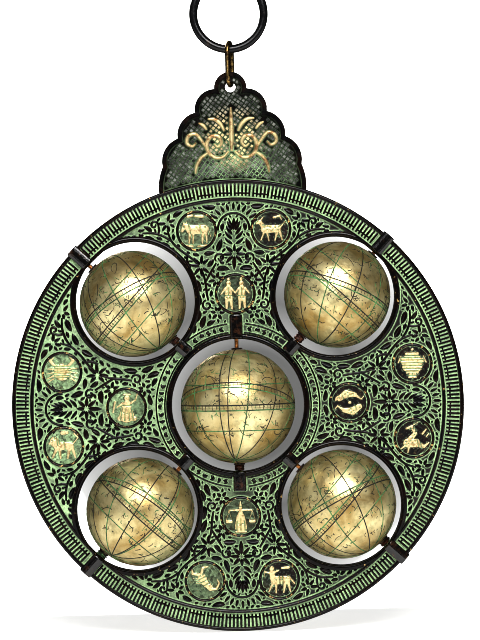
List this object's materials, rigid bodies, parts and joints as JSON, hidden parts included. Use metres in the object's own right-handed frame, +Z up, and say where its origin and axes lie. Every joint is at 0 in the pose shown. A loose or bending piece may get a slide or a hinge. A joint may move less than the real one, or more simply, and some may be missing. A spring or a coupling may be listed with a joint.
{
  "type": "astrolabe",
  "caption": "Hanging wall astrolabe: a round cast plate with a lobed throne and ring, relief zodiac medallions, and brass globes that spin on axles in round openings.",
  "frame": {"origin": "the hang point, inside the top of the suspension ring, in the plane of the plate", "axes": "+Z up along the hanging line, +X to the viewer's right, -Y out of the decorated front face"},
  "size_m": [0.36, 0.0912, 0.5243],
  "materials": {
    "plate_bronze": "cast brass, near-black bronze patina on the relief, pale verdigris green in the recesses",
    "throne_bronze": "cast brass, black-green patina, worn brass highlights",
    "globe_brass": "aged satin brass, engraved",
    "ring_black": "gloss black iron",
    "link_brass": "bright worn brass wire",
    "axle_copper": "coppery brass rod",
    "saddle_black": "blackened brass, semi-gloss",
    "collar_brown": "brown patinated brass",
    "washer_dark": "darkened brass disc"
  },
  "bodies": {
    "ring": {"suspension_ring": "ring_black"},
    "link": {"shackle_link": "link_brass"},
    "plate": {"plate": "plate_bronze", "throne": "throne_bronze", "saddle_upper_left_hub": "saddle_black", "saddle_upper_left_rim": "saddle_black", "axle_upper_left": "axle_copper", "collar_upper_left": "collar_brown", "saddle_upper_right_hub": "saddle_black", "saddle_upper_right_rim": "saddle_black", "axle_upper_right": "axle_copper", "collar_upper_right": "collar_brown", "saddle_lower_left_hub": "saddle_black", "saddle_lower_left_rim": "saddle_black", "axle_lower_left": "axle_copper", "collar_lower_left": "collar_brown", "saddle_lower_right_hub": "saddle_black", "saddle_lower_right_rim": "saddle_black", "axle_lower_right": "axle_copper", "collar_lower_right": "collar_brown", "saddle_centre_hub": "saddle_black", "saddle_centre_rim": "saddle_black", "axle_centre": "axle_copper", "collar_centre": "collar_brown"},
    "globe_upper_left": {"globe_upper_left_rim_half": "globe_brass", "globe_upper_left_hub_half": "globe_brass", "washer_upper_left_rim": "washer_dark", "washer_upper_left_hub": "washer_dark"},
    "globe_upper_right": {"globe_upper_right_rim_half": "globe_brass", "globe_upper_right_hub_half": "globe_brass", "washer_upper_right_rim": "washer_dark", "washer_upper_right_hub": "washer_dark"},
    "globe_lower_left": {"globe_lower_left_rim_half": "globe_brass", "globe_lower_left_hub_half": "globe_brass", "washer_lower_left_rim": "washer_dark", "washer_lower_left_hub": "washer_dark"},
    "globe_lower_right": {"globe_lower_right_rim_half": "globe_brass", "globe_lower_right_hub_half": "globe_brass", "washer_lower_right_rim": "washer_dark", "washer_lower_right_hub": "washer_dark"},
    "globe_centre": {"globe_centre_top_half": "globe_brass", "globe_centre_bottom_half": "globe_brass", "washer_centre_top": "washer_dark", "washer_centre_bottom": "washer_dark"}
  },
  "joints": [
    {"name": "link_swing", "type": "hinge", "parent": "ring", "child": "link", "pos_m": [0, 0, -0.05345], "axis": [1, 0, 0], "range_deg": [-90, 90]},
    {"name": "plate_swing", "type": "hinge", "parent": "link", "child": "plate", "pos_m": [0, 0, -0.0823], "axis": [0, 1, 0], "range_deg": [-60, 60]},
    {"name": "upper_left_spin", "type": "hinge", "parent": "plate", "child": "globe_upper_left", "pos_m": [-0.08217, 0, -0.25508], "axis": [-0.7363, 0, 0.6766], "continuous": true},
    {"name": "upper_right_spin", "type": "hinge", "parent": "plate", "child": "globe_upper_right", "pos_m": [0.08147, 0, -0.25167], "axis": [0.6764, 0, 0.7365], "continuous": true},
    {"name": "lower_left_spin", "type": "hinge", "parent": "plate", "child": "globe_lower_left", "pos_m": [-0.08002, 0, -0.42135], "axis": [-0.6875, 0, -0.7262], "continuous": true},
    {"name": "lower_right_spin", "type": "hinge", "parent": "plate", "child": "globe_lower_right", "pos_m": [0.0811, 0, -0.4192], "axis": [0.7405, 0, -0.6721], "continuous": true},
    {"name": "centre_spin", "type": "hinge", "parent": "plate", "child": "globe_centre", "pos_m": [0, 0, -0.339], "axis": [0, 0, 1], "continuous": true}
  ]
}
